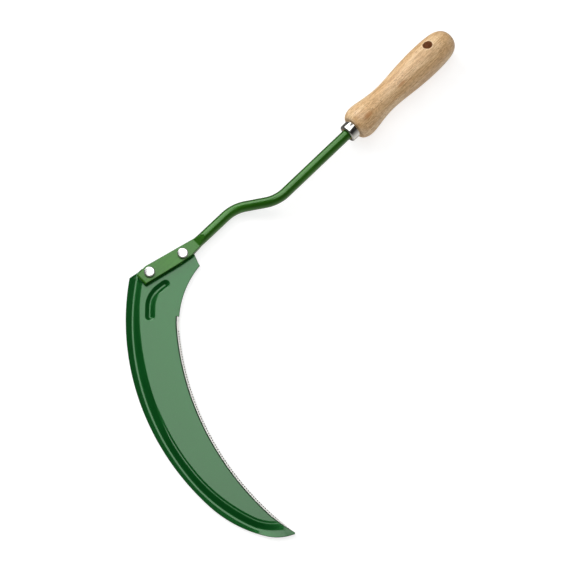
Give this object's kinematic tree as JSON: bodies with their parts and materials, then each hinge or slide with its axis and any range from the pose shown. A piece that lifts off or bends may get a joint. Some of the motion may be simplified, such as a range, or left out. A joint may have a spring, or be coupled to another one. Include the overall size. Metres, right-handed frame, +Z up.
{
  "type": "hand sickle",
  "caption": "Hand sickle: crescent blade of pressed sheet steel with a fine-toothed edge, riveted to a swan-necked round bar whose tang is set in a turned wooden grip with a ferrule.",
  "frame": {"origin": "centre of the underside of the tool's bounding box: the point below the middle of the box, on the surface that the tool lies on", "axes": "+X along the handle's axis towards the butt; +Y across the handle, away from the blade's cutting side; +Z up, square to the flat of the blade, with the tool lying flat"},
  "size_m": [0.4768, 0.2734, 0.032],
  "materials": {
    "blade_paint": "dark green gloss enamel over sheet steel, bare ground bevel at the cutting edge",
    "bar_paint": "green gloss enamel over a round steel bar",
    "plated_steel": "bright nickel plate",
    "beech": "turned beech, clear matt lacquer"
  },
  "bodies": {
    "root": {"blade": "blade_paint", "tang_rod": "bar_paint", "rivet_heel": "plated_steel", "rivet_neck": "plated_steel", "ferrule": "plated_steel", "handle": "beech"}
  },
  "joints": []
}
